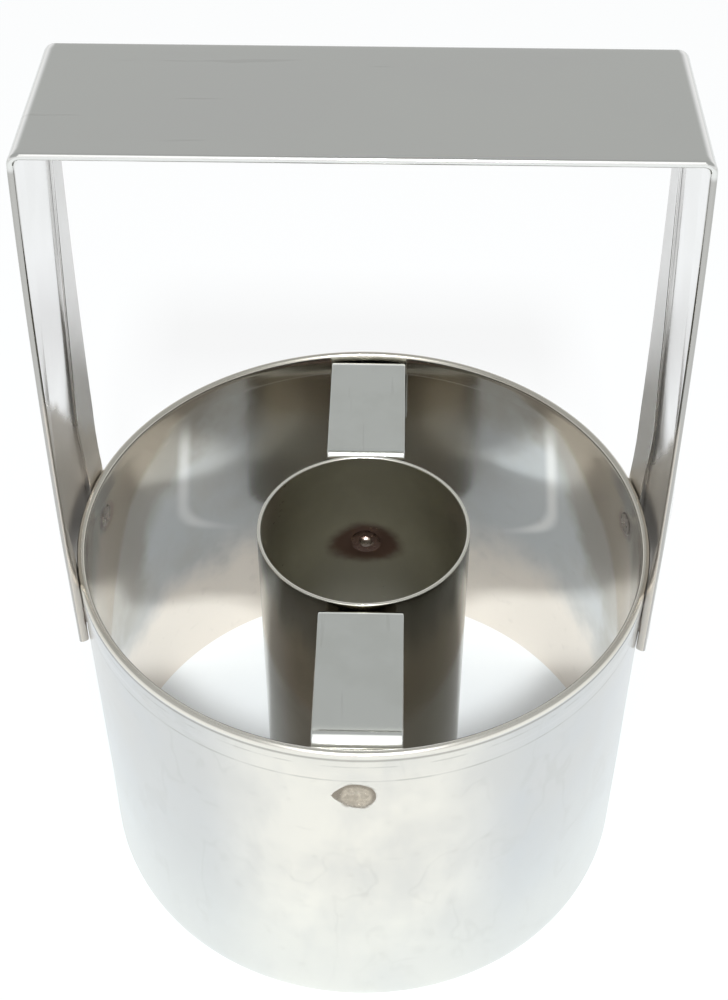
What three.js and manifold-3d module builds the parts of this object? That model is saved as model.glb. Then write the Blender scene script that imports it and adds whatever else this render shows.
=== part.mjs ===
// Doughnut cutter of formed stainless sheet, in millimetres, +Z up.
// An outer cutting ring and a centre tube are tied together by two bent brackets, under a wide strip handle.
// Spot welds hold the sheets. The origin is on the ring's axis, level with the cutting edges.

import * as THREE from 'three';
import { mergeVertices } from 'three/addons/utils/BufferGeometryUtils.js';
import Module from 'manifold-3d';

const wasm = await Module();
wasm.setup();

// Outer ring
const RING_DIAMETER = 80;
const RING_HEIGHT = 57;
const RING_SHEET = 0.5;
const RING_HEM_HEIGHT = 3.6;
const RING_HEM_GAP = 0.15;

// Centre tube
const TUBE_DIAMETER = 30;
const TUBE_SHEET = 0.5;

// Ground cutting edges of the ring and the tube: the height of the bevel and the thickness it takes away
const EDGE_HEIGHT = 1.2;
const EDGE_GRIND = 0.2;

// Brackets between the tube and the ring, with the inside radius of their bends
const BRACKET_WIDTH = 11.5;
const BRACKET_SHEET = 0.8;
const BRACKET_BEND_RADIUS = 0.8;
const RING_TAB_LENGTH = 14;
const TUBE_TAB_LENGTH = 23;

// Handle strip
const STRIP_WIDTH = 25;
const STRIP_SHEET = 0.5;
const STRIP_HEM_WIDTH = 5;
const STRIP_HEM_GAP = 0.15;

// Handle arch: the grip's height over the ring's rim, its width across the outer faces,
// how far the legs reach down past the rim, and the bends, with the inside radius at the shoulders
const GRIP_RISE = 67;
const GRIP_WIDTH = 76;
const LEG_OVERLAP = 11.5;
const SHOULDER_RADIUS = 0.45;
const KNEE_RISE = 2;
const KNEE_RADIUS = 30;

// Spot welds, each set in from the end of the tab or leg that it holds
const BRACKET_WELD_DIAMETER = 5;
const BRACKET_WELD_INSET = 5.5;
const LEG_WELD_DIAMETER = 3.6;
const LEG_WELD_INSET = 3.7;
const WELD_SINK = 0.1;
const WELD_CHAMFER = 0.15;

// Clearance between sheets that lie against each other, and round each weld
const SEAT_GAP = 0.25;

// Facets
const RING_SIDES = 72;
const TUBE_SIDES = 48;
const WELD_SIDES = 16;
const FOLD_STEPS = 6;
const SLIT_STEPS = 2;
const BEND_STEPS = 5;
const WEB_STEPS = 6;
const HEM_STEPS = 2;
const LEG_STEPS = 9;
const KNEE_STEPS = 2;

// Radii and levels that several pieces share
const ringOuter = RING_DIAMETER / 2;
const ringInner = ringOuter - RING_SHEET;
const ringHem = 2 * RING_SHEET + RING_HEM_GAP;
const tubeOuter = TUBE_DIAMETER / 2;
const tubeInner = tubeOuter - TUBE_SHEET;
const stripHem = 2 * STRIP_SHEET + STRIP_HEM_GAP;
const legOuter = ringOuter + SEAT_GAP + stripHem;
const tubeTabFace = tubeOuter + SEAT_GAP;
const ringTabFace = Math.sqrt((ringOuter - ringHem) ** 2 - (BRACKET_WIDTH / 2) ** 2) - SEAT_GAP;

const FRONT = -Math.PI / 2;
const REAR = Math.PI / 2;
const RIGHT = 0;
const LEFT = Math.PI;

function steel(color, roughness) {
  return new THREE.MeshStandardMaterial({ color, roughness, metalness: 1 });
}

const ringSteel = steel(0xdcdcd6, 0.22);
const tubeSteel = steel(0x8d8474, 0.28);
const bracketSteel = steel(0xb2b4ac, 0.35);
const handleSteel = steel(0xb4b5ae, 0.32);
const weldSteel = steel(0x9c8a76, 0.45);

function named(name, geometry, material) {
  const mesh = new THREE.Mesh(geometry, material);
  mesh.name = name;
  return mesh;
}

function toSolid(geometry) {
  const bare = geometry.clone();
  bare.deleteAttribute('normal');
  bare.deleteAttribute('uv');
  const merged = mergeVertices(bare);
  return new wasm.Manifold(new wasm.Mesh({
    numProp: 3,
    vertProperties: Float32Array.from(merged.attributes.position.array),
    triVerts: Uint32Array.from(merged.index.array),
  }));
}

function toGeometry(solid) {
  const { vertProperties, triVerts } = solid.getMesh();
  const geometry = new THREE.BufferGeometry();
  geometry.setAttribute('position', new THREE.BufferAttribute(vertProperties, 3));
  geometry.setIndex(new THREE.BufferAttribute(triVerts, 1));
  geometry.computeVertexNormals();
  return geometry;
}

function cut(geometry, cutters) {
  const solid = cutters.reduce((left, cutter) => left.subtract(toSolid(cutter)), toSolid(geometry));
  return toGeometry(solid);
}

// Points of an arc about a centre, both ends included.
function arc(centreX, centreY, radius, from, to, steps) {
  return Array.from({ length: steps + 1 }, (_, i) => {
    const angle = from + (to - from) * i / steps;
    return new THREE.Vector2(centreX + radius * Math.cos(angle), centreY + radius * Math.sin(angle));
  });
}

// Turns a closed [radius, height] profile about the Z axis.
function revolved(profile, sides) {
  const closed = [...profile, profile[0].clone()];
  return new THREE.LatheGeometry(closed, sides).rotateX(Math.PI / 2);
}

// Spot welds: each is a short slug through the sheets, set along a radius of the ring.
const bracketWelds = [
  { side: 'front', angle: FRONT },
  { side: 'rear', angle: REAR },
];
const legWeldAngle = (STRIP_WIDTH - STRIP_HEM_WIDTH) / 2 / legOuter;
const welds = [
  ...bracketWelds.flatMap(({ side, angle }) => [
    {
      name: `${side}_bracket_ring_weld`, through: 'ring', angle, diameter: BRACKET_WELD_DIAMETER,
      depth: RING_TAB_LENGTH - BRACKET_WELD_INSET, from: ringTabFace - BRACKET_SHEET, to: ringOuter,
    },
    {
      name: `${side}_bracket_tube_weld`, through: 'tube', angle, diameter: BRACKET_WELD_DIAMETER,
      depth: TUBE_TAB_LENGTH - BRACKET_WELD_INSET, from: tubeInner, to: tubeTabFace + BRACKET_SHEET,
    },
  ]),
  ...[
    { name: 'left_leg_front_weld', angle: LEFT + legWeldAngle },
    { name: 'left_leg_rear_weld', angle: LEFT - legWeldAngle },
    { name: 'right_leg_front_weld', angle: RIGHT - legWeldAngle },
    { name: 'right_leg_rear_weld', angle: RIGHT + legWeldAngle },
  ].map(({ name, angle }) => ({
    name, through: 'leg', angle, diameter: LEG_WELD_DIAMETER,
    depth: LEG_OVERLAP - LEG_WELD_INSET, from: ringInner, to: legOuter,
  })),
];

function weldMesh({ name, angle, diameter, depth, from, to }) {
  const radius = diameter / 2;
  const start = from + WELD_SINK;
  const end = to - WELD_SINK;
  const outline = [
    [0, start], [radius - WELD_CHAMFER, start], [radius, start + WELD_CHAMFER],
    [radius, end - WELD_CHAMFER], [radius - WELD_CHAMFER, end], [0, end],
  ].map(([x, y]) => new THREE.Vector2(x, y));
  const geometry = new THREE.LatheGeometry(outline, WELD_SIDES).rotateZ(-Math.PI / 2);
  const mesh = named(name, geometry, weldSteel);
  mesh.rotation.z = angle;
  mesh.position.z = RING_HEIGHT - depth;
  return mesh;
}

// The hole that a weld's slug sits in, as a cutter that runs past both ends of the slug.
function weldHole({ angle, diameter, depth, from, to }) {
  const length = to - from + 2 * SEAT_GAP;
  return new THREE.CylinderGeometry(diameter / 2 + SEAT_GAP, diameter / 2 + SEAT_GAP, length, WELD_SIDES)
    .rotateZ(-Math.PI / 2)
    .translate((from + to) / 2, 0, 0)
    .rotateZ(angle)
    .translate(0, 0, RING_HEIGHT - depth);
}

function holesThrough(...sheets) {
  return welds.filter(({ through }) => sheets.includes(through)).map(weldHole);
}

// Outer ring: the top edge is folded inwards and down, and the cutting edge is ground on the outside.
function outerRing() {
  const foldRadius = ringHem / 2;
  const foldLevel = RING_HEIGHT - foldRadius;
  const foldCentre = ringOuter - foldRadius;
  const hemEnd = RING_HEIGHT - RING_HEM_HEIGHT;
  const hemInner = ringOuter - ringHem;
  const profile = [
    new THREE.Vector2(ringInner, 0),
    new THREE.Vector2(ringOuter - EDGE_GRIND, 0),
    new THREE.Vector2(ringOuter, EDGE_HEIGHT),
    ...arc(foldCentre, foldLevel, foldRadius, 0, Math.PI, FOLD_STEPS),
    new THREE.Vector2(hemInner, hemEnd),
    new THREE.Vector2(hemInner + RING_SHEET, hemEnd),
    ...arc(foldCentre, foldLevel, RING_HEM_GAP / 2, Math.PI, 0, SLIT_STEPS),
  ];
  return cut(revolved(profile, RING_SIDES), holesThrough('ring', 'leg'));
}

// Centre tube: a plain sheet whose cutting edge is ground on the inside.
function innerTube() {
  const profile = [
    [tubeInner + EDGE_GRIND, 0], [tubeOuter, 0], [tubeOuter, RING_HEIGHT],
    [tubeInner, RING_HEIGHT], [tubeInner, EDGE_HEIGHT],
  ].map(([x, y]) => new THREE.Vector2(x, y));
  return cut(revolved(profile, TUBE_SIDES), holesThrough('tube'));
}

// Bracket: a strip bent down at both ends, drawn from the tube (low x) to the ring (high x).
function bracketAt(angle) {
  const outerRadius = BRACKET_BEND_RADIUS + BRACKET_SHEET;
  const bendLevel = RING_HEIGHT - outerRadius;
  const tubeBend = tubeTabFace + outerRadius;
  const ringBend = ringTabFace - outerRadius;
  const outline = [
    new THREE.Vector2(tubeTabFace + BRACKET_SHEET, RING_HEIGHT - TUBE_TAB_LENGTH),
    ...arc(tubeBend, bendLevel, BRACKET_BEND_RADIUS, Math.PI, Math.PI / 2, BEND_STEPS),
    ...arc(ringBend, bendLevel, BRACKET_BEND_RADIUS, Math.PI / 2, 0, BEND_STEPS),
    new THREE.Vector2(ringTabFace - BRACKET_SHEET, RING_HEIGHT - RING_TAB_LENGTH),
    new THREE.Vector2(ringTabFace, RING_HEIGHT - RING_TAB_LENGTH),
    ...arc(ringBend, bendLevel, outerRadius, 0, Math.PI / 2, BEND_STEPS),
    ...arc(tubeBend, bendLevel, outerRadius, Math.PI / 2, Math.PI, BEND_STEPS),
    new THREE.Vector2(tubeTabFace, RING_HEIGHT - TUBE_TAB_LENGTH),
  ];
  const options = { depth: BRACKET_WIDTH, bevelEnabled: false, steps: 1 };
  const strip = new THREE.ExtrudeGeometry(new THREE.Shape(outline), options)
    .translate(0, 0, -BRACKET_WIDTH / 2)
    .rotateX(Math.PI / 2)
    .rotateZ(angle);
  return cut(strip, holesThrough('ring', 'tube'));
}

// Section of the handle strip as [across, out] points: the outer face lies at out = 0,
// and both long edges are folded over onto the inner face.
function stripSection() {
  const half = STRIP_WIDTH / 2;
  const fold = stripHem / 2;
  const flat = half - fold;
  const hemEdge = half - STRIP_HEM_WIDTH;
  const hemTop = -(STRIP_SHEET + STRIP_HEM_GAP);
  const spread = (from, to, level, steps) => Array.from({ length: steps + 1 }, (_, i) => (
    new THREE.Vector2(from + (to - from) * i / steps, level)
  ));
  const leftFold = [
    ...arc(-flat, -fold, fold, Math.PI / 2, 1.5 * Math.PI, FOLD_STEPS).slice(1, -1),
    ...spread(-flat, -hemEdge, -stripHem, HEM_STEPS),
    ...spread(-hemEdge, -flat, hemTop, HEM_STEPS),
    ...arc(-flat, -fold, STRIP_HEM_GAP / 2, 1.5 * Math.PI, Math.PI / 2, SLIT_STEPS).slice(1, -1),
  ];
  const rightFold = leftFold.map(({ x, y }) => new THREE.Vector2(-x, y)).reverse();
  return [
    ...spread(flat, -flat, 0, WEB_STEPS),
    ...leftFold,
    ...spread(-flat, flat, -STRIP_SHEET, WEB_STEPS),
    ...rightFold,
  ];
}

// Stations along the handle's outer face, from the left leg's end over the grip to the right leg's end.
// Each has a place and an outward direction in the XZ plane, and how far the strip is dished there:
// from flat along the grip to the ring's own curve where the legs lie on the ring.
function handleStations() {
  const kneeLevel = RING_HEIGHT + KNEE_RISE;
  const legEnd = RING_HEIGHT - LEG_OVERLAP;
  const gripLevel = RING_HEIGHT + GRIP_RISE;
  const shoulder = GRIP_WIDTH / 2;
  const shoulderRadius = SHOULDER_RADIUS + stripHem;
  const corners = [
    { x: -legOuter, z: legEnd },
    { x: -legOuter, z: kneeLevel, radius: KNEE_RADIUS, steps: KNEE_STEPS },
    { x: -shoulder, z: gripLevel, radius: shoulderRadius, steps: FOLD_STEPS },
    { x: shoulder, z: gripLevel, radius: shoulderRadius, steps: FOLD_STEPS },
    { x: legOuter, z: kneeLevel, radius: KNEE_RADIUS, steps: KNEE_STEPS },
    { x: legOuter, z: legEnd },
  ].map(({ x, z, ...bend }) => ({ point: new THREE.Vector2(x, z), ...bend }));

  const flatLevel = gripLevel - shoulderRadius;
  const dishAt = (z) => THREE.MathUtils.clamp((flatLevel - z) / (flatLevel - kneeLevel), 0, 1);
  const stations = [];
  const outFrom = (along) => new THREE.Vector2(-along.y, along.x);
  const addStation = (point, along) => {
    stations.push({ point, out: outFrom(along), dish: dishAt(point.y) });
  };
  corners.forEach(({ point, radius, steps }, i) => {
    const before = corners[i - 1]?.point;
    const after = corners[i + 1]?.point;
    const into = before && point.clone().sub(before).normalize();
    const away = after && after.clone().sub(point).normalize();
    if (!radius) {
      addStation(point, into ?? away);
      return;
    }
    const turn = Math.atan2(into.cross(away), into.dot(away));
    const reach = turn < 0 ? radius : -radius;
    const start = point.clone().addScaledVector(into, -radius * Math.tan(Math.abs(turn) / 2));
    const centre = start.clone().addScaledVector(outFrom(into), -reach);
    const last = stations.at(-1).point;
    const stretches = dishAt(last.y) === dishAt(start.y) ? 1 : LEG_STEPS;
    for (let step = 1; step < stretches; step += 1) {
      addStation(last.clone().lerp(start, step / stretches), into);
    }
    for (let step = 0; step <= steps; step += 1) {
      const along = into.clone().rotateAround(new THREE.Vector2(), turn * step / steps);
      addStation(centre.clone().addScaledVector(outFrom(along), reach), along);
    }
  });
  return stations;
}

// Bends a point of the section across the strip: at dish 1 the outer face has the legs' outer radius.
function dished({ x: across, y: depth }, dish) {
  if (dish === 0) return { side: across, rise: depth };
  const radius = legOuter / dish;
  const angle = across / radius;
  return { side: (radius + depth) * Math.sin(angle), rise: (radius + depth) * Math.cos(angle) - radius };
}

// Handle: the strip's section carried along the stations, capped at both leg ends.
function handle() {
  const section = stripSection();
  const stations = handleStations();
  const count = section.length;
  const positions = [];
  for (const { point, out, dish } of stations) {
    for (const corner of section) {
      const { side, rise } = dished(corner, dish);
      const place = point.clone().addScaledVector(out, rise);
      positions.push(place.x, side, place.y);
    }
  }
  const triangles = [];
  for (let row = 0; row < stations.length - 1; row += 1) {
    for (let i = 0; i < count; i += 1) {
      const a = row * count + i;
      const b = row * count + (i + 1) % count;
      triangles.push(a, b, a + count, b, b + count, a + count);
    }
  }
  const lastRow = (stations.length - 1) * count;
  for (const [a, b, c] of THREE.ShapeUtils.triangulateShape(section, [])) {
    triangles.push(a, c, b, lastRow + a, lastRow + b, lastRow + c);
  }
  const geometry = new THREE.BufferGeometry();
  geometry.setAttribute('position', new THREE.Float32BufferAttribute(positions, 3));
  geometry.setIndex(triangles);
  return cut(geometry, holesThrough('leg'));
}

const doughnutCutter = new THREE.Group();
doughnutCutter.add(
  named('outer_ring', outerRing(), ringSteel),
  named('inner_tube', innerTube(), tubeSteel),
  named('front_bracket', bracketAt(FRONT), bracketSteel),
  named('rear_bracket', bracketAt(REAR), bracketSteel),
  named('handle', handle(), handleSteel),
  ...welds.map(weldMesh),
);

export default doughnutCutter;
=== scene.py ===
"""Doughnut cutter of formed stainless sheet: the finish of its sheets, folds and spot welds."""
import math
from collections import namedtuple

import bmesh
import bpy
from mathutils import Matrix, Vector, noise


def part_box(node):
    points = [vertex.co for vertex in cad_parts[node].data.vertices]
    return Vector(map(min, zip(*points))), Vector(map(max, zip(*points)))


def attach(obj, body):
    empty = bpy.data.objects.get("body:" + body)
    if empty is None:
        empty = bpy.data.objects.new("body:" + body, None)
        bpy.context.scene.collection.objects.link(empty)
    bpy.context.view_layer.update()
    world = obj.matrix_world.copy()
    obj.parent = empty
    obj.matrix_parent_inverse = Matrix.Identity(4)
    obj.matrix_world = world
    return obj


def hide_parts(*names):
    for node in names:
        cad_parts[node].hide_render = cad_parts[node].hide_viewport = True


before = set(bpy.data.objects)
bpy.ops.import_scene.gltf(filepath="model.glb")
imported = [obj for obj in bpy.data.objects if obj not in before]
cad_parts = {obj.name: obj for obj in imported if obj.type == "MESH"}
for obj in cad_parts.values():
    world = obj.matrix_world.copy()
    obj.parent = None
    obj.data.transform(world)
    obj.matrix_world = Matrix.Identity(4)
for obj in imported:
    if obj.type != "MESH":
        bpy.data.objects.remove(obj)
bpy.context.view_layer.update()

MM = 0.001

# Sizes that the frame gives
_, ring_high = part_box("outer_ring")
_, tube_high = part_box("inner_tube")
tie_low, tie_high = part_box("rear_bracket")
handle_low, handle_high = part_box("handle")
RIM = ring_high.z
RING_RADIUS = ring_high.x
TUBE_RADIUS = tube_high.x
TUBE_TAB_FACE = tie_low.y
RING_TAB_FACE = tie_high.y
TUBE_TAB_END = tie_low.z
TIE_HALF_WIDTH = tie_high.x
LEG_RADIUS = handle_high.x
LEG_END = handle_low.z
GRIP_TOP = handle_high.z
STRIP_HALF_WIDTH = handle_high.y

# Sheets and folds
SHEET = 0.5 * MM
TIE_SHEET = 0.8 * MM
HEM = 1.15 * MM
HEM_SLIT = 0.03 * MM
RING_HEM_HEIGHT = 3.6 * MM
RING_HEM_STEP = 0.05 * MM
RING_HEM_RAMP = 0.5 * MM
RING_HEM_LAND = 0.2 * MM
RING_FOLD_DROP = 1.2 * MM
RIM_CREASE_DROP = 1.1 * MM
RIM_CREASE_DEPTH = 0.07 * MM
RIM_CREASE_HALF = 0.22 * MM
STRIP_SHEET = 0.41 * MM
STRIP_HEM = 0.85 * MM
STRIP_HEM_WIDTH = 5 * MM
STRIP_HEM_EDGE = STRIP_HALF_WIDTH - STRIP_HEM_WIDTH
STRIP_HEM_WANDER = 0.15 * MM
HEM_WANDER_LENGTH = 9 * MM
HEM_ROW_GAP = 3
HEM_ROW_SEED = 0.5
TIE_EASE = 0.18 * MM
CUT_EDGE_RADIUS = 0.12 * MM
GROUND_HEIGHT = 1.2 * MM
GROUND_DEPTH = 0.2 * MM

# Unevenness of the rolled ring
SWAY = 0.16 * MM
SWAY_WAVES = 2.2
SWAY_HEIGHT = 22 * MM
SWAY_START = 12 * MM
SWAY_END = 14 * MM

# Bends
TIE_BEND_RADIUS = 1.6 * MM
RING_BEND_RADIUS = 2.3 * MM
RING_TAB_LENGTH = 14 * MM
GRIP_HALF_WIDTH = 38 * MM
SHOULDER_RADIUS = 1.6 * MM
KNEE_LEVEL = RIM + 2 * MM
KNEE_RADIUS = 30 * MM
WEB_DISH_RISE = 11 * MM
EDGE_DISH_POWER = 1.7
SEAT_PRESS = 0.5 * MM
SEAT_PRESS_TOP = KNEE_LEVEL + 7 * MM
SEAT_PRESS_FULL = RIM - 3 * MM

# Prints of the welding electrodes
PRINT_DEPTH = 0.17 * MM
PRINT_SPREAD = 1.4
PRINT_FLOOR = 0.75
BUTTON_CROWN = 0.05 * MM
BUTTON_PIT = 0.14 * MM
BUTTON_PIT_SHARES = (0.1, 0.5)
BUTTON_WANDER = 0.1
BUTTON_EDGE = 0.12 * MM
BUTTON_EDGE_SHARES = (0.9, 1.0)
BUTTON_SHARES = (0.1, 0.2, 0.27, 0.32, 0.42, 0.6, 0.8, 0.93, 1.0)
BEAD_SHARE = 0.42
BEAD_HEIGHT = 0.5 * MM
DRAG = 0.7

# Mesh steps
RING_SIDES = 240
TUBE_SIDES = 160
WALL_STEP = 1.0 * MM
STRIP_STEP = 1.0 * MM
FOLD_STEPS = 8
SLIT_STEPS = 2
LIP_STEPS = 3
BEND_STEPS = 10
BUTTON_SIDES = 40
SHARP_ANGLE = math.radians(42)


# Shapes

Station = namedtuple("Station", "point out")


def share_of(low, high, value):
    """How far a value is from low to high, held between 0 and 1."""
    return min(max((value - low) / (high - low), 0), 1)


def smooth_step(low, high, value):
    """0 below low, 1 above high, and an even S curve between them."""
    share = share_of(low, high, value)
    return share * share * (3 - 2 * share)


def arc(centre, radius, start, end, steps):
    """Points of an arc, both ends included."""
    turns = (start + (end - start) * step / steps for step in range(steps + 1))
    return [(centre[0] + radius * math.cos(turn), centre[1] + radius * math.sin(turn)) for turn in turns]


def line(start, end, step):
    """Points of a straight stretch about a step apart, both ends included."""
    count = max(1, round(math.dist(start, end) / step))
    return [tuple(a + (b - a) * i / count for a, b in zip(start, end)) for i in range(count + 1)]


def faced(points, face):
    """Marks points of an outline with the side of the sheet they are on: 1 outer, -1 inner, 0 an edge."""
    return [(*point, face) for point in points]


def outward(along):
    return Vector((-along.y, along.x))


def bent_path(corners, step, bend_steps):
    """Stations along straight stretches joined by round bends, from (x, z, radius) corners."""
    points = [Vector(corner[:2]) for corner in corners]
    stations = []

    def run_straight(end):
        start = stations[-1].point if stations else points[0]
        along = (end - start).normalized()
        for x, z in line(start, end, step)[1 if stations else 0:]:
            stations.append(Station(Vector((x, z)), outward(along)))

    for before, (point, corner), after in zip(points, list(zip(points, corners))[1:-1], points[2:]):
        into = (point - before).normalized()
        away = (after - point).normalized()
        turn = math.atan2(into.x * away.y - into.y * away.x, into.dot(away))
        radius = corner[2] * (-1 if turn > 0 else 1)
        start = point - into * corner[2] * math.tan(abs(turn) / 2)
        centre = start - outward(into) * radius
        run_straight(start)
        for bend in range(1, bend_steps + 1):
            along = into.copy()
            along.rotate(Matrix.Rotation(turn * bend / bend_steps, 2))
            stations.append(Station(centre + outward(along) * radius, outward(along)))
    run_straight(points[-1])
    return stations


def turned_sheet(outline, sides, shift):
    """A closed (radius, height, face) outline turned about the Z axis, with a radial shift at each point."""
    made = bmesh.new()
    rows = []
    for side in range(sides):
        bearing = 2 * math.pi * side / sides
        row = []
        for radius, height, face in outline:
            reach = radius + shift(bearing, height, face)
            row.append(made.verts.new((reach * math.cos(bearing), reach * math.sin(bearing), height)))
        rows.append(row)
    for row, following in zip(rows, rows[1:] + rows[:1]):
        join_rows(made, row, following)
    return made


def swept_strip(section, stations, place):
    """A closed section carried along stations and capped at both ends. Place gives each corner's point."""
    made = bmesh.new()
    rows = [[made.verts.new(place(corner, station)) for corner in section] for station in stations]
    for row, following in zip(rows, rows[1:]):
        join_rows(made, row, following)
    made.faces.new(rows[0])
    made.faces.new(rows[-1])
    return made


def join_rows(made, row, following):
    """Quads between two rows of points that each close on themselves."""
    for i in range(len(row)):
        j = (i + 1) % len(row)
        made.faces.new((row[i], row[j], following[j], following[i]))


def piece(name, made, node, material):
    """The finished piece that stands for a node: smooth faces, with the sharp corners kept."""
    bmesh.ops.recalc_face_normals(made, faces=made.faces)
    for face in made.faces:
        face.smooth = True
    for edge in made.edges:
        edge.smooth = edge.calc_face_angle(0) < SHARP_ANGLE
    mesh = bpy.data.meshes.new(name)
    made.to_mesh(mesh)
    made.free()
    mesh.materials.append(material)
    made_piece = bpy.data.objects.new(name, mesh)
    bpy.context.scene.collection.objects.link(made_piece)
    even = made_piece.modifiers.new("even_normals", "WEIGHTED_NORMAL")
    even.keep_sharp = True
    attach(made_piece, "root")
    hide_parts(node)
    return made_piece


# Spot welds

class Spot:
    """A spot weld of the frame: its bearing about the ring's axis, its height, its radius and its ends."""

    def __init__(self, node):
        low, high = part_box(node)
        middle = (low + high) / 2
        self.node = node
        self.height = middle.z
        self.radius = (high.z - low.z) / 2
        self.bearing = math.atan2(middle.y, middle.x)
        self.along = Vector((math.cos(self.bearing), math.sin(self.bearing), 0))
        reach = [self.along.dot(corner.co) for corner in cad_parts[node].data.vertices]
        self.start = min(reach)
        self.end = max(reach)

    def point(self, radius):
        """The weld's middle at a distance from the ring's axis."""
        return self.along * radius + Vector((0, 0, self.height))

    def pressed(self, point):
        """How deep the electrode's print is at a point of a sheet."""
        offset = point - self.along * self.along.dot(point) - Vector((0, 0, self.height))
        same_side = self.along.dot(point) > 0
        edge = self.radius * PRINT_SPREAD
        return PRINT_DEPTH * smooth_step(edge, PRINT_FLOOR * self.radius, offset.length) if same_side else 0


SIDES = ("front", "rear")
ring_spots = [Spot(f"{side}_bracket_ring_weld") for side in SIDES]
tube_spots = [Spot(f"{side}_bracket_tube_weld") for side in SIDES]
leg_spots = [Spot(f"{hand}_leg_{side}_weld") for hand in ("left", "right") for side in SIDES]


def pressed_by(spots, point):
    return sum(spot.pressed(point) for spot in spots)


def weld_button(spot, material, bead=0.0, drag=0.0):
    """The fused slug of a weld: both ends follow the sheets, with a low crown round a pit or a bead.

    A drag draws the outline out to a point on one side, where the electrode slid.
    """
    made = bmesh.new()
    taper = math.acos(1 / (1 + drag))

    def end_ring(level, share, lift):
        ring = []
        for side in range(BUTTON_SIDES):
            turn = 2 * math.pi * side / BUTTON_SIDES
            wander = noise.noise(spot.point(level) / MM + Vector((math.cos(turn), math.sin(turn), 0)))
            drawn = 1 / math.cos(max(0, taper - abs(turn - math.pi))) - 1
            reach = spot.radius * share * (1 + share * (BUTTON_WANDER * wander + drawn))
            across = reach * math.cos(turn)
            sag = across ** 2 / (2 * level)
            ring.append(made.verts.new((level + lift - sag, across, reach * math.sin(turn))))
        return ring

    def end_rings(level, sign):
        rings = []
        for share in BUTTON_SHARES:
            crown = BUTTON_CROWN * (1 - share ** 4) - BUTTON_EDGE * smooth_step(*BUTTON_EDGE_SHARES, share)
            if bead:
                middle = bead * math.sqrt(max(0, 1 - (share / BEAD_SHARE) ** 2))
            else:
                middle = -BUTTON_PIT * (1 - smooth_step(*BUTTON_PIT_SHARES, share))
            rings.append(end_ring(level, share, sign * (crown + middle)))
        return rings

    inner = end_rings(spot.start, -1)
    outer = end_rings(spot.end, 1)
    rings = inner + outer[::-1]
    for ring, following in zip(rings, rings[1:]):
        join_rows(made, ring, following)
    made.faces.new(rings[0])
    made.faces.new(rings[-1])
    made.transform(Matrix.Translation((0, 0, spot.height)) @ Matrix.Rotation(spot.bearing, 4, "Z"))
    return piece(f"{spot.node}_button", made, spot.node, material)


# Ring and tube

def ring_sway(bearing, height):
    """Slight unevenness of the rolled ring, which dies out at the stiff hem and the cutting edge."""
    waves = Vector((SWAY_WAVES * math.cos(bearing), SWAY_WAVES * math.sin(bearing), height / SWAY_HEIGHT))
    calm = smooth_step(0, SWAY_START, height) * smooth_step(0, SWAY_END, RIM - height)
    return SWAY * noise.noise(waves) * calm


def cutting_ring(material):
    """The ring's sheet: ground edge outside, plain wall, and the top edge folded inwards as a hem."""
    fold = HEM / 2
    fold_centre = (RING_RADIUS - fold, RIM - fold)
    hem_inner = RING_RADIUS - HEM
    hem_end = RIM - RING_HEM_HEIGHT
    wall = RING_RADIUS - RING_HEM_STEP
    inner = RING_RADIUS - SHEET
    step_low = hem_end - RING_HEM_RAMP
    crease = RIM - RIM_CREASE_DROP
    crease_low = crease - RIM_CREASE_HALF
    lip = CUT_EDGE_RADIUS
    outline = [
        *faced([(inner, 0), (wall - GROUND_DEPTH, 0)], 0),
        *faced(line((wall, GROUND_HEIGHT), (wall, step_low), WALL_STEP), 1),
        *faced([(wall + RING_HEM_STEP / 2, hem_end - RING_HEM_RAMP / 2), (RING_RADIUS, hem_end)], 1),
        *faced(line((RING_RADIUS, hem_end + RING_HEM_LAND), (RING_RADIUS, crease_low), WALL_STEP), 1),
        *faced([(RING_RADIUS - RIM_CREASE_DEPTH, crease)], 1),
        *faced([(RING_RADIUS, crease + RIM_CREASE_HALF)], 1),
        *faced(arc(fold_centre, fold, 0, math.pi, FOLD_STEPS), 0),
        *faced(line((hem_inner, RIM - RING_FOLD_DROP), (hem_inner, hem_end + lip), WALL_STEP), 0),
        *faced(arc((hem_inner + lip, hem_end + lip), lip, math.pi, 1.5 * math.pi, LIP_STEPS)[1:], 0),
        *faced([(hem_inner + SHEET, hem_end)], 0),
        *faced(arc(fold_centre, HEM_SLIT / 2, math.pi, 0, SLIT_STEPS), 0),
        *faced(line((inner, hem_end), (inner, GROUND_HEIGHT), WALL_STEP), -1),
    ]
    spots = ring_spots + leg_spots

    def shift(bearing, height, face):
        print_depth = 0
        if face:
            wall_point = Vector((RING_RADIUS * math.cos(bearing), RING_RADIUS * math.sin(bearing), height))
            print_depth = pressed_by(spots, wall_point)
        return ring_sway(bearing, height) - face * print_depth

    made = turned_sheet(outline, RING_SIDES, shift)
    return piece("cutting_ring", made, "outer_ring", material)


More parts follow.
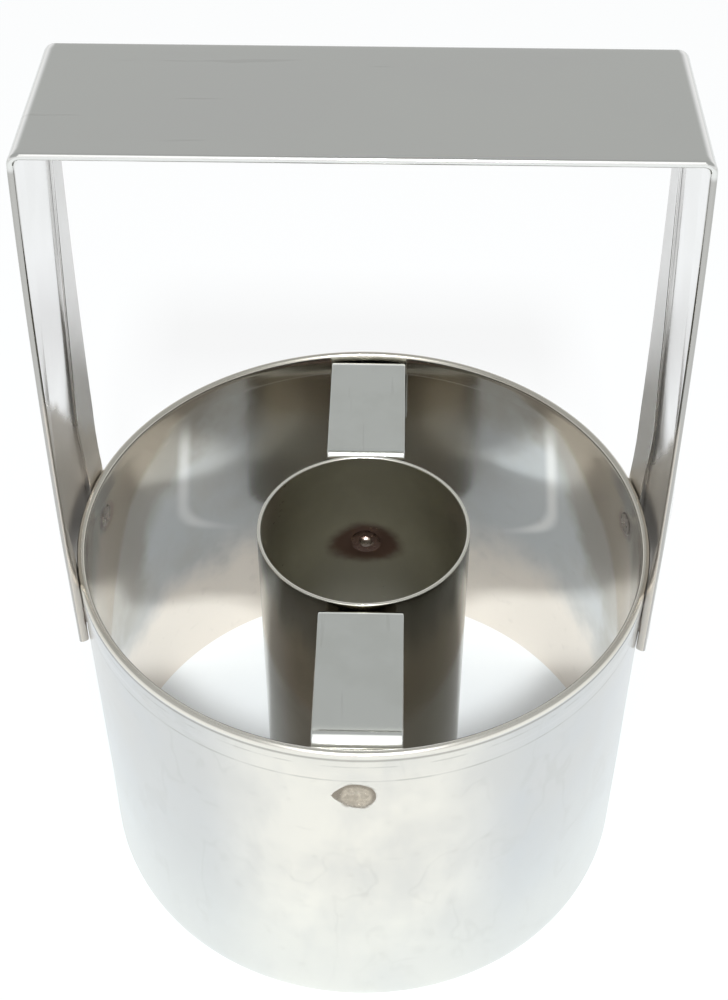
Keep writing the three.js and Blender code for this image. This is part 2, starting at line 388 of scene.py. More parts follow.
def centre_tube(material):
    """The tube's sheet: plain top edge, and the cutting edge ground on the inside."""
    inner = TUBE_RADIUS - SHEET
    lip = CUT_EDGE_RADIUS
    outline = [
        *faced([(inner + GROUND_DEPTH, 0), (TUBE_RADIUS, 0)], 0),
        *faced(line((TUBE_RADIUS, GROUND_HEIGHT), (TUBE_RADIUS, RIM - WALL_STEP), WALL_STEP), 1),
        *faced(arc((TUBE_RADIUS - lip, RIM - lip), lip, 0, math.pi / 2, LIP_STEPS), 0),
        *faced(arc((inner + lip, RIM - lip), lip, math.pi / 2, math.pi, LIP_STEPS), 0),
        *faced(line((inner, RIM - WALL_STEP), (inner, GROUND_HEIGHT), WALL_STEP), -1),
    ]

    def shift(bearing, height, face):
        wall_point = Vector((TUBE_RADIUS * math.cos(bearing), TUBE_RADIUS * math.sin(bearing), height))
        return -face * pressed_by(tube_spots, wall_point)

    made = turned_sheet(outline, TUBE_SIDES, shift)
    return piece("centre_tube", made, "inner_tube", material)


# Brackets between the tube and the ring

def tie_section():
    """The flat strip's section as (across, depth, face), with its long edges eased."""
    ease = TIE_EASE
    side = TIE_HALF_WIDTH - ease
    low = -TIE_SHEET + ease
    return [
        *faced(line((side, 0), (-side, 0), STRIP_STEP), 1),
        *faced(arc((-side, -ease), ease, 0.5 * math.pi, math.pi, LIP_STEPS)[1:], 0),
        *faced(arc((-side, low), ease, math.pi, 1.5 * math.pi, LIP_STEPS)[:-1], 0),
        *faced(line((-side, -TIE_SHEET), (side, -TIE_SHEET), STRIP_STEP), -1),
        *faced(arc((side, low), ease, 1.5 * math.pi, 2 * math.pi, LIP_STEPS)[1:], 0),
        *faced(arc((side, -ease), ease, 0, 0.5 * math.pi, LIP_STEPS)[:-1], 0),
    ]


def tie_bracket(side, material):
    """A strip bent down at both ends, from the tube's tab over the plate to the ring's tab."""
    stations = bent_path([
        (TUBE_TAB_FACE, TUBE_TAB_END, 0),
        (TUBE_TAB_FACE, RIM, TIE_BEND_RADIUS),
        (RING_TAB_FACE, RIM, RING_BEND_RADIUS),
        (RING_TAB_FACE, RIM - RING_TAB_LENGTH, 0),
    ], STRIP_STEP, BEND_STEPS)
    facing = 1 if side == "rear" else -1
    spots = ring_spots + tube_spots

    def place(corner, station):
        across, depth, face = corner
        flat = station.point + station.out * depth
        print_depth = face * pressed_by(spots, Vector((-facing * across, facing * flat.x, flat.y)))
        level = station.point + station.out * (depth - print_depth)
        return -facing * across, facing * level.x, level.y

    made = swept_strip(tie_section(), stations, place)
    return piece(f"{side}_tie", made, f"{side}_bracket", material)


# Handle

def handle_section():
    """The handle strip's section as (across, depth, face, hem), its long edges folded onto the inner face."""
    fold = STRIP_HEM / 2
    flat = STRIP_HALF_WIDTH - fold
    fold_centre = (-flat, -fold)
    edge = -STRIP_HEM_EDGE
    ease = CUT_EDGE_RADIUS
    ease_centre = (edge - ease, ease - STRIP_HEM)
    top = 0.5 * math.pi
    bottom = 1.5 * math.pi
    fold_left = [
        *[(*p, 0, 0) for p in arc(fold_centre, fold, top, bottom, FOLD_STEPS)[1:-1]],
        *[(*p, 0, 0) for p in line((-flat, -STRIP_HEM), (edge - STRIP_STEP, -STRIP_HEM), STRIP_STEP)],
        *[(*p, 0, 1) for p in arc(ease_centre, ease, bottom, 2 * math.pi, LIP_STEPS)],
        (edge, -(STRIP_SHEET + HEM_SLIT), 0, 1),
        *[(*p, 0, 0) for p in arc(fold_centre, HEM_SLIT / 2, bottom, top, SLIT_STEPS)[:-1]],
    ]
    fold_right = [(-across, depth, face, hem) for across, depth, face, hem in reversed(fold_left)]
    return [
        *[(*p, 1, 0) for p in line((flat, 0), (-flat, 0), STRIP_STEP)],
        *fold_left,
        *[(*p, -1, 0) for p in line((-flat, -STRIP_SHEET), (flat, -STRIP_SHEET), STRIP_STEP)],
        *fold_right,
    ]


def dished(across, depth, web_dish, edge_dish):
    """Bends a point of the section across the strip: at dish 1 it has the curve of the ring.

    The stiff edges keep to their own dish, and the hems tilt where the web is flatter.
    """
    edge_sag = LEG_RADIUS - math.sqrt(LEG_RADIUS ** 2 - STRIP_HALF_WIDTH ** 2)
    hem_share = max(0, (abs(across) - STRIP_HALF_WIDTH) / STRIP_HEM_WIDTH + 1)
    tilt = (edge_dish - web_dish) * edge_sag * hem_share
    if web_dish == 0:
        return across, depth - tilt
    radius = LEG_RADIUS / web_dish
    turn = across / radius
    return (radius + depth) * math.sin(turn), (radius + depth) * math.cos(turn) - radius - tilt


def strip_handle(material):
    """The strip bent to an arch: flat along the grip, with the ring's curve at the ends of the legs."""
    stations = bent_path([
        (-LEG_RADIUS, LEG_END, 0),
        (-LEG_RADIUS, KNEE_LEVEL, KNEE_RADIUS),
        (-GRIP_HALF_WIDTH, GRIP_TOP, SHOULDER_RADIUS),
        (GRIP_HALF_WIDTH, GRIP_TOP, SHOULDER_RADIUS),
        (LEG_RADIUS, KNEE_LEVEL, KNEE_RADIUS),
        (LEG_RADIUS, LEG_END, 0),
    ], STRIP_STEP, BEND_STEPS)
    shoulder_level = GRIP_TOP - SHOULDER_RADIUS

    def place(corner, station):
        across, depth, face, hem = corner
        if hem:
            run = (station.point.x + station.point.y) / HEM_WANDER_LENGTH
            row = math.copysign(HEM_ROW_GAP, across)
            across += STRIP_HEM_WANDER * noise.noise(Vector((run, row, HEM_ROW_SEED)))
        level = station.point.y
        hem_share = share_of(STRIP_SHEET, STRIP_HEM, -depth)
        depth -= SEAT_PRESS * hem_share * smooth_step(SEAT_PRESS_TOP, SEAT_PRESS_FULL, level)
        web_dish = 1 - smooth_step(KNEE_LEVEL, KNEE_LEVEL + WEB_DISH_RISE, level)
        edge_dish = share_of(shoulder_level, KNEE_LEVEL, level) ** EDGE_DISH_POWER
        side, rise = dished(across, depth, web_dish, edge_dish)
        flat = station.point + station.out * rise
        print_depth = face * pressed_by(leg_spots, Vector((flat.x, side, flat.y)))
        point = station.point + station.out * (rise - print_depth)
        return point.x, side, point.y

    made = swept_strip(handle_section(), stations, place)
    return piece("strip_handle", made, "handle", material)


# Shader maths

class Value:
    """One output of a shader node. Arithmetic on it adds Math nodes to the same shader."""

    def __init__(self, shader, socket):
        self.shader = shader
        self.socket = socket

    def part(self, name):
        """Another output of the same node."""
        return Value(self.shader, self.socket.node.outputs[name])

    def math(self, operation, *terms):
        return self.shader.node("ShaderNodeMath", {"operation": operation}, dict(enumerate(terms)))

    def __add__(self, other):
        return self.math("ADD", self, other)

    def __radd__(self, other):
        return self.math("ADD", other, self)

    def __sub__(self, other):
        return self.math("SUBTRACT", self, other)

    def __rsub__(self, other):
        return self.math("SUBTRACT", other, self)

    def __mul__(self, other):
        return self.math("MULTIPLY", self, other)

    def __rmul__(self, other):
        return self.math("MULTIPLY", other, self)

    def __truediv__(self, other):
        return self.math("DIVIDE", self, other)

    def __rtruediv__(self, other):
        return self.math("DIVIDE", other, self)

    def __abs__(self):
        return self.math("ABSOLUTE", self)

    def root(self):
        return self.math("SQRT", self)

    def turn(self, other):
        """The angle whose sine and cosine go as this value and the other."""
        return self.math("ARCTAN2", self, other)

    def least(self, other):
        return self.math("MINIMUM", self, other)

    def most(self, other):
        return self.math("MAXIMUM", self, other)


class Shader:
    """The nodes of one material or of the world."""

    def __init__(self, owner):
        owner.use_nodes = True
        self.owner = owner
        self.tree = owner.node_tree
        self.tree.nodes.clear()

    def node(self, kind, settings=None, sockets=None, output=0):
        """Adds a node: its settings come first, then the values or links of its sockets."""
        made = self.tree.nodes.new(kind)
        for setting, value in (settings or {}).items():
            if setting == "stops":
                self.set_stops(made.color_ramp, value)
            else:
                setattr(made, setting, value)
        for key, value in (sockets or {}).items():
            socket = self.chosen(made.inputs, key)
            if isinstance(value, Value):
                self.tree.links.new(value.socket, socket)
            else:
                socket.default_value = value
        return Value(self, self.chosen(made.outputs, output)) if made.outputs else None

    @staticmethod
    def chosen(sockets, key):
        """A socket in use, by its number or its name."""
        if isinstance(key, int):
            return sockets[key]
        return next(socket for socket in sockets if socket.name == key and socket.enabled)

    @staticmethod
    def set_stops(ramp, stops):
        while len(ramp.elements) < len(stops):
            ramp.elements.new(1)
        for element, (position, colour) in zip(ramp.elements, stops):
            element.position = position
            element.color = (*colour, 1)

    def place(self):
        """The point's place on the piece, in metres."""
        return self.node("ShaderNodeTexCoord", output="Object")

    def split(self, vector):
        first = self.node("ShaderNodeSeparateXYZ", sockets={0: vector})
        return first, first.part("Y"), first.part("Z")

    def joined(self, x, y, z):
        return self.node("ShaderNodeCombineXYZ", sockets={"X": x, "Y": y, "Z": z})

    def stretched(self, vector, scale):
        return self.node("ShaderNodeVectorMath", {"operation": "MULTIPLY"}, {0: vector, 1: scale})

    def distance(self, vector, point):
        return self.node("ShaderNodeVectorMath", {"operation": "DISTANCE"}, {0: vector, 1: point}, "Value")

    def from_axis(self, place, spot):
        """The distance from the line through a weld, square to the sheets."""
        along = self.node("ShaderNodeVectorMath", {"operation": "PROJECT"}, {0: place, 1: spot.along})
        across = self.node("ShaderNodeVectorMath", {"operation": "SUBTRACT"}, {0: place, 1: along})
        return self.distance(across, (0, 0, spot.height))

    def cloud(self, vector, scale, detail=2.0, roughness=0.5):
        """Soft noise from about 0.3 to 0.7."""
        sockets = {"Vector": vector, "Scale": scale, "Detail": detail, "Roughness": roughness}
        return self.node("ShaderNodeTexNoise", sockets=sockets)

    def remap(self, value, low, high, to_low=0.0, to_high=1.0):
        sockets = {"Value": value, "From Min": low, "From Max": high, "To Min": to_low, "To Max": to_high}
        return self.node("ShaderNodeMapRange", {"interpolation_type": "SMOOTHSTEP"}, sockets)

    def ramp(self, value, stops):
        return self.node("ShaderNodeValToRGB", {"stops": stops}, {"Fac": value})

    def mix(self, share, first, second, blend="MIX"):
        first, second = ((*c, 1) if isinstance(c, tuple) else c for c in (first, second))
        settings = {"data_type": "RGBA", "blend_type": blend}
        return self.node("ShaderNodeMix", settings, {"Factor": share, "A": first, "B": second}, "Result")

    def bump(self, height, strength, reach):
        sockets = {"Height": height, "Strength": strength, "Distance": reach}
        return self.node("ShaderNodeBump", sockets=sockets)

    def steel(self, colour, roughness, normal):
        sockets = {"Base Color": colour, "Roughness": roughness, "Metallic": 1.0, "Normal": normal}
        surface = self.node("ShaderNodeBsdfPrincipled", sockets=sockets)
        self.node("ShaderNodeOutputMaterial", sockets={"Surface": surface})
        return self.owner


def new_shader(name):
    return Shader(bpy.data.materials.new(name))


# Finishes

Tone = namedtuple("Tone", "colour share")
Heat = namedtuple("Heat", "colour spread fade", defaults=[0.25])
WeldTones = namedtuple("WeldTones", "middle border bead", defaults=[None])

GRAIN_DEPTH = 0.05 * MM
MOTTLE_DEPTH = 0.08 * MM
MOTTLE_SCALE = 1300.0
RAGGED_SCALE = 600.0
RAGGED_SHARE = 0.5


def toned(shader, colour, mask, tone):
    """Lays a tone over a colour, as far as the mask and the tone's share go."""
    return shader.mix(mask * tone.share, colour, tone.colour)


def stripe(shader, offset, core, edge):
    """1 where an offset is within the core, and down to 0 at the edge."""
    return 1 - shader.remap(abs(offset), core, edge)


def smudges(shader, place, scale):
    """Broad soft patches from 0 to 1, as handling leaves them."""
    return shader.remap(shader.cloud(place, scale, 4.0, 0.55), 0.35, 0.65)


def grain(shader, vector):
    """Fine lines, along the direction in which the vector changes slowly."""
    return shader.cloud(vector, 1.0, 3.0, 0.6)


def scratches(shader, vector, low):
    """Thin streaks where a drawn-out noise peaks."""
    return shader.remap(shader.cloud(vector, 1.0, 2.0), low, low + 0.06)


def rolled(shader, bearing, z, side, scales):
    """A vector for the grain of a rolled sheet, with scales per radian and per metre, its sides apart."""
    around, up = scales
    return shader.joined(bearing * around, z * up, side)


def weld_share(shader, place, spots):
    """How far a point is from the nearest weld, in weld radii, with a ragged border."""
    nearest = None
    for spot in spots:
        reach = shader.from_axis(place, spot) / spot.radius
        nearest = reach if nearest is None else nearest.least(reach)
    return nearest + (shader.cloud(place, RAGGED_SCALE, 3.0) - 0.5) * RAGGED_SHARE


def heat_tint(shader, place, colour, spots, heat):
    """Brown discolouring round the welds of a sheet."""
    mark = shader.remap(weld_share(shader, place, spots), heat.spread, heat.spread - heat.fade)
    return shader.mix(mark, colour, heat.colour)


# Finish of the ring, where a reach runs from nothing to the full tone

RING_GRAIN = (3.0, 1800.0)
RING_SCRATCHES = (6.0, 500.0)
RING_SMUDGES = 55.0
RING_SPECKS = 420.0
RING_BLOTCHES = (190.0, 190.0, 70.0)
RING_STAINS = 110.0
RING_STAIN_STRETCH = (1.0, 1.0, 0.6)
RIM_LINE_BREAKS = 9.0

# Painted reflection: bluish steel at the sides and warm steel in front and behind, as the surroundings mirror
# in the outside.
RING_SIDE_REFLECTION = (0.60, 0.615, 0.625)
RING_FRONT_REFLECTION = (0.83, 0.805, 0.735)
RING_FRONT_REFLECTION_REACH = (33 * MM, 40 * MM)
# Painted shade: the outside darker towards the bottom, near the floor.
RING_LOW_SHADE = Tone((0.64, 0.63, 0.60), 0.75)
RING_LOW_SHADE_REACH = (28 * MM, 2 * MM)
RING_SMUDGE = Tone((0.64, 0.635, 0.61), 0.5)
RING_BLOTCH = Tone((0.60, 0.60, 0.59), 0.25)
RING_STAIN = Tone((0.42, 0.41, 0.38), 0.1)
RING_SPECK = Tone((0.45, 0.42, 0.38), 0.08)
RING_SCRATCH = Tone((0.40, 0.38, 0.35), 0.06)
RING_HEAT = Heat((0.30, 0.26, 0.21), 1.12)
RING_LEG_HEAT = Heat((0.36, 0.33, 0.30), 1.5)

# Painted light and shade on the rim fold: lighter in front, darker behind.
RIM_FRONT_LIT = (0.80, 0.775, 0.71)
RIM_REAR_SHADE = (0.68, 0.65, 0.58)
RIM_REAR_SHADE_REACH = (-34 * MM, -20 * MM)
RIM_FOLD_REACH = (RIM - 0.9 * MM, RIM - 0.6 * MM)
# Painted shade: thin dark lines on and below the hem, one in its crease.
RIM_SHADE_LINE = (0.30, 0.29, 0.26)
GROOVE_LEVEL = RIM - RIM_CREASE_DROP
GROOVE_WIDTH = (0.1 * MM, 0.3 * MM)
GROOVE_SHARE = 0.6
FINE_LINE_LEVEL = RIM - 2.4 * MM
FINE_LINE_WIDTH = (0.05 * MM, 0.2 * MM)
FINE_LINE_SHARE = 0.25
STEP_LINE_LEVEL = RIM - 5.3 * MM
STEP_LINE_WIDTH = (0.05 * MM, 0.22 * MM)
STEP_LINE_SHARE = 0.35
STEP_LINE_FADE = 0.2

BORE_DEPTH = (RING_RADIUS - 0.25 * MM, RING_RADIUS - 0.35 * MM)
BORE_TOP_REACH = (RIM - 0.4 * MM, RIM - 0.9 * MM)
BORE_CLEAN = (0.59, 0.61, 0.615)
BORE_SMUDGED = (0.55, 0.545, 0.525)
# Painted reflection: the bore warm and bright low down, where it mirrors the lit floor.
BORE_WARM_REFLECTION = (0.85, 0.785, 0.71)
BORE_WARM_REFLECTION_REACH = (24 * MM, 13 * MM)
# Painted dark reflection: the bore brown below the rim, where it mirrors the dark front wall and the tube.
BORE_DARK_REFLECTION = Tone((0.42, 0.395, 0.335), 0.75)
BORE_DARK_REFLECTION_REACH = (RIM - 14 * MM, RIM - 2 * MM)
# Painted dark reflection: brown slanted bands on the bore's sides.
SIDE_DARK_REFLECTION = Tone((0.37, 0.345, 0.30), 0.8)
SIDE_DARK_REFLECTION_REACH = (97 * MM, 107 * MM)
SIDE_DARK_REFLECTION_SLANT = 2
BORE_REFLECTION_WANDER = 6 * MM
SIDE_DARK_REFLECTION_WANDER = 8 * MM

# Painted highlight: two bright streaks down the bore's sides, the right one brighter.
HIGHLIGHT_STREAK = (0.95, 0.945, 0.925)
STREAK_OFFSET = 33 * MM
STREAK_LEAN = 0.09
STREAK_BEND_LEVEL = 36 * MM
STREAK_BEND = 0.062 / MM
STREAK_WIDTH = (0.1 * MM, 1.3 * MM)
STREAK_LOW_REACH = (23 * MM, 31 * MM)
STREAK_HIGH_REACH = (54 * MM, 46 * MM)
STREAK_SHARES = (0.5, 0.75)
STREAK_SHARE_REACH = (-5 * MM, 5 * MM)


def ring_outside(shader, place, bearing, smudge):
    """Colour of the outside: a painted reflection, bluish at the sides and warm in front and behind, painted
    shade low down and on the rear of the rim fold, and thin painted shade lines below the rim.
    """
    _, y, z = shader.split(place)
    colour = shader.mix(shader.remap(abs(y), *RING_FRONT_REFLECTION_REACH), RING_SIDE_REFLECTION, RING_FRONT_REFLECTION)
    colour = toned(shader, colour, shader.remap(z, *RING_LOW_SHADE_REACH), RING_LOW_SHADE)
    colour = toned(shader, colour, smudge, RING_SMUDGE)
    blotches = shader.cloud(shader.stretched(place, RING_BLOTCHES), 1.0, 3.0)
    colour = toned(shader, colour, shader.remap(blotches, 0.45, 0.7), RING_BLOTCH)
    stains = shader.cloud(shader.stretched(place, RING_STAIN_STRETCH), RING_STAINS, 2.5, 0.5)
    colour = toned(shader, colour, stripe(shader, stains - 0.5, 0.004, 0.02) * smudge, RING_STAIN)
    # The rim fold's colour: painted light in front, painted shade behind.
    rim = shader.mix(shader.remap(y, *RIM_REAR_SHADE_REACH), RIM_FRONT_LIT, RIM_REAR_SHADE)
    colour = shader.mix(shader.remap(z, *RIM_FOLD_REACH), colour, rim)
    broken = shader.remap(shader.cloud(shader.joined(bearing * RIM_LINE_BREAKS, 0.0, 0.0), 1.0), 0.42, 0.58)
    # Painted shade lines of the crease and the hem, broken here and there.
    groove = stripe(shader, z - GROOVE_LEVEL, *GROOVE_WIDTH) * GROOVE_SHARE
    fine = stripe(shader, z - FINE_LINE_LEVEL, *FINE_LINE_WIDTH) * broken * FINE_LINE_SHARE
    step = stripe(shader, z - STEP_LINE_LEVEL, *STEP_LINE_WIDTH) * (STEP_LINE_SHARE - broken * STEP_LINE_FADE)
    return shader.mix(groove + fine + step, colour, RIM_SHADE_LINE)


def ring_inside(shader, place, smudge):
    """Colour of the inside: painted reflections, warm low down and brown below the rim and at the sides, with
    two painted highlight streaks.
    """
    x, _, z = shader.split(place)
    uneven = smudge - 0.5
    colour = shader.mix(smudge, BORE_CLEAN, BORE_SMUDGED)
    level = z + uneven * BORE_REFLECTION_WANDER
    colour = shader.mix(shader.remap(level, *BORE_WARM_REFLECTION_REACH), colour, BORE_WARM_REFLECTION)
    colour = toned(shader, colour, shader.remap(level, *BORE_DARK_REFLECTION_REACH), BORE_DARK_REFLECTION)
    sides = z + abs(x) * SIDE_DARK_REFLECTION_SLANT + uneven * SIDE_DARK_REFLECTION_WANDER
    colour = toned(shader, colour, shader.remap(sides, *SIDE_DARK_REFLECTION_REACH), SIDE_DARK_REFLECTION)
    # Painted highlight streaks.
    below = (STREAK_BEND_LEVEL - z).most(0)
    path = STREAK_OFFSET - z * STREAK_LEAN - below * below * STREAK_BEND
    painted_streak = stripe(shader, abs(x) - path, *STREAK_WIDTH)
    painted_streak = painted_streak * shader.remap(z, *STREAK_LOW_REACH) * shader.remap(z, *STREAK_HIGH_REACH)
    painted_streak = painted_streak * shader.remap(x, *STREAK_SHARE_REACH, *STREAK_SHARES)
    return shader.mix(painted_streak, colour, HIGHLIGHT_STREAK)


def ring_steel():
    """Buffed sheet, pale outside and mirror-like inside."""
    shader = new_shader("ring_steel")
    place = shader.place()
    x, y, z = shader.split(place)
    bearing = y.turn(x)
    inner_side = shader.remap((x * x + y * y).root(), *BORE_DEPTH)
    inside = inner_side * shader.remap(z, *BORE_TOP_REACH)
    lines = grain(shader, rolled(shader, bearing, z, inside, RING_GRAIN))
    smudge = smudges(shader, place, RING_SMUDGES)
    specks = shader.remap(shader.cloud(place, RING_SPECKS, 3.0), 0.62, 0.72)
    marks = scratches(shader, rolled(shader, bearing, z, inside, RING_SCRATCHES), 0.68)
    outer = ring_outside(shader, place, bearing, smudge)
    colour = shader.mix(inside, outer, ring_inside(shader, place, smudge))
    colour = toned(shader, colour, specks, RING_SPECK)
    colour = toned(shader, colour, marks, RING_SCRATCH)
    colour = heat_tint(shader, place, colour, ring_spots, RING_HEAT)
    colour = heat_tint(shader, place, colour, leg_spots, RING_LEG_HEAT)
    roughness = 0.22 - inside * 0.15 + smudge * 0.03 + (lines - 0.5) * 0.05
    normal = shader.bump(lines * 0.25 + marks * 0.5 + smudge * 0.6, 0.08, GRAIN_DEPTH)
    return shader.steel(colour, roughness, normal)


# Finish of the tube

TUBE_GRAIN = (3.0, 1500.0)
TUBE_SMUDGES = 90.0
# The outside's dark brown base is partly the tube's own darker steel and partly painted dark reflection.
TUBE_OUTSIDE = (0.27, 0.245, 0.195)
TUBE_OUTSIDE_SMUDGED = (0.23, 0.205, 0.16)
# Painted reflection on the left of the outside and painted shade on its right.
TUBE_LEFT_REFLECTION = (0.40, 0.40, 0.37)
TUBE_LEFT_REFLECTION_REACH = (-0.6 * TUBE_RADIUS, -TUBE_RADIUS)
TUBE_RIGHT_SHADE = Tone((0.185, 0.175, 0.135), 0.8)
TUBE_RIGHT_SHADE_REACH = (0, 0.7 * TUBE_RADIUS)
TUBE_INSIDE = (0.68, 0.66, 0.56)
TUBE_INSIDE_SMUDGED = (0.62, 0.60, 0.50)
TUBE_BORE_DEPTH = (TUBE_RADIUS - 0.2 * MM, TUBE_RADIUS - 0.3 * MM)
# Painted shade: the bore darker deeper down.
TUBE_DEEP_SHADE = (0.44, 0.425, 0.355)
TUBE_DEEP_SHADE_REACH = (RIM - 14 * MM, RIM - 26 * MM)
TUBE_EDGE = (0.90, 0.88, 0.80)
TUBE_EDGE_REACH = (RIM - 0.3 * MM, RIM - 0.1 * MM)
TUBE_HEAT = Heat((0.23, 0.145, 0.12), 1.95, 0.8)
TUBE_HEAT_STRETCH = (0.72, 1.0, 1.0)


def tube_steel():
    """Darker sheet, brownish partly as painted dark reflection and partly with handling; painted light on the
    left and painted shade on the right outside, painted shade deep in the bore; bright on its top edge, with
    wide soft heat marks.
    """
    shader = new_shader("tube_steel")
    place = shader.place()
    x, y, z = shader.split(place)
    bearing = y.turn(x)
    inside = shader.remap((x * x + y * y).root(), *TUBE_BORE_DEPTH)
    lines = grain(shader, rolled(shader, bearing, z, inside, TUBE_GRAIN))
    smudge = smudges(shader, place, TUBE_SMUDGES)
    outer = shader.mix(smudge, TUBE_OUTSIDE, TUBE_OUTSIDE_SMUDGED)
    outer = shader.mix(shader.remap(x, *TUBE_LEFT_REFLECTION_REACH), outer, TUBE_LEFT_REFLECTION)
    outer = toned(shader, outer, shader.remap(x, *TUBE_RIGHT_SHADE_REACH), TUBE_RIGHT_SHADE)
    inner = shader.mix(smudge, TUBE_INSIDE, TUBE_INSIDE_SMUDGED)
    inner = shader.mix(shader.remap(z, *TUBE_DEEP_SHADE_REACH), inner, TUBE_DEEP_SHADE)
    colour = shader.mix(inside, outer, inner)
    wide = shader.stretched(place, TUBE_HEAT_STRETCH)
    colour = heat_tint(shader, wide, colour, tube_spots, TUBE_HEAT)
    colour = shader.mix(shader.remap(z, *TUBE_EDGE_REACH), colour, TUBE_EDGE)
    roughness = 0.12 + inside * 0.16 + smudge * 0.05 + (lines - 0.5) * 0.06
    normal = shader.bump(lines * 0.25 + smudge * 0.5, 0.08, GRAIN_DEPTH)
    return shader.steel(colour, roughness, normal)


# Finish of the brackets

TIE_GRAIN = (1600.0, 40.0, 40.0)
TIE_SCRATCHES = (900.0, 60.0, 60.0)
TIE_SMUDGES = 130.0
TIE_CLEAN = (0.80, 0.815, 0.785)
TIE_SMUDGED = (0.76, 0.775, 0.74)
TIE_SCRATCH = Tone((0.5, 0.49, 0.47), 0.12)
# Painted highlight along the bends at the rim.
TIE_BEND_HIGHLIGHT = (0.90, 0.91, 0.89)
TIE_BEND_HIGHLIGHT_REACH = (RIM - 0.1 * MM, RIM - 0.4 * MM)


def bracket_steel():
    """Satin strip with fine lines from the tube to the ring, and a painted highlight along its bends."""
    shader = new_shader("bracket_steel")
    place = shader.place()
    _, _, z = shader.split(place)
    lines = grain(shader, shader.stretched(place, TIE_GRAIN))
    smudge = smudges(shader, place, TIE_SMUDGES)
    marks = scratches(shader, shader.stretched(place, TIE_SCRATCHES), 0.68)
    colour = shader.mix(smudge, TIE_CLEAN, TIE_SMUDGED)
    colour = toned(shader, colour, marks, TIE_SCRATCH)
    colour = shader.mix(shader.remap(z, *TIE_BEND_HIGHLIGHT_REACH), colour, TIE_BEND_HIGHLIGHT)
    roughness = 0.11 + smudge * 0.04 + (lines - 0.5) * 0.06
    normal = shader.bump(lines * 0.3 + marks * 0.4, 0.06, GRAIN_DEPTH)
    return shader.steel(colour, roughness, normal)


# Finish of the handle

HANDLE_GRAIN = (30.0, 1700.0, 30.0)
HANDLE_SCRATCHES = (60.0, 900.0, 60.0)
HANDLE_SMUDGES = 60.0
HANDLE_SMUDGE = Tone((0.76, 0.755, 0.74), 0.5)
HANDLE_SCRATCH = Tone((0.45, 0.44, 0.42), 0.15)
GRIP_CLEAN = (0.79, 0.79, 0.765)
GRIP_REACH = (GRIP_TOP - 2.5 * MM, GRIP_TOP - 1.5 * MM)
GRIP_FOLD = Tone((0.70, 0.70, 0.68), 0.6)
LEG_CLEAN = (0.88, 0.87, 0.87)
LEG_FOLD = (0.46, 0.45, 0.43)
FOLD_REACH = (STRIP_HALF_WIDTH - 0.6 * MM, STRIP_HALF_WIDTH - 0.3 * MM)
INNER_FACE_REACH = (4 * MM, -4 * MM)
HALF_CHANGE = (-1 * MM, 1 * MM)
# Painted shade on the rear hems of the legs' inner faces.
REAR_HEM_SHADE = Tone((0.70, 0.69, 0.675), 0.5)
REAR_HEM_SHADE_REACH = (STRIP_HEM_EDGE, STRIP_HEM_EDGE + 0.4 * MM)
# Painted shade: a dark line along the hems' free edges on the legs' inner faces, stronger behind than in
# front.
HEM_STEP_SHADE = (0.30, 0.29, 0.27)
HEM_STEP_SHADE_INSET = 0.5 * MM
HEM_STEP_SHADE_WIDTH = (0.25 * MM, 0.7 * MM)
HEM_STEP_SHADE_SHARES = (0.2, 0.6)
# Painted reflection: a brownish tone low on the legs' inner faces, with a slanted top, where they mirror the
# ring's rim.
LEG_RIM_REFLECTION = Tone((0.67, 0.62, 0.555), 0.8)
LEG_RIM_REFLECTION_REACH = (RIM + 22 * MM, RIM + 18 * MM)
LEG_RIM_REFLECTION_SLANT = 1.1
LEG_RIM_REFLECTION_WANDER = 3 * MM
RIGHT_REFLECTION_DROP = 5 * MM
LEG_HEAT = Heat((0.48, 0.42, 0.36), 1.3)


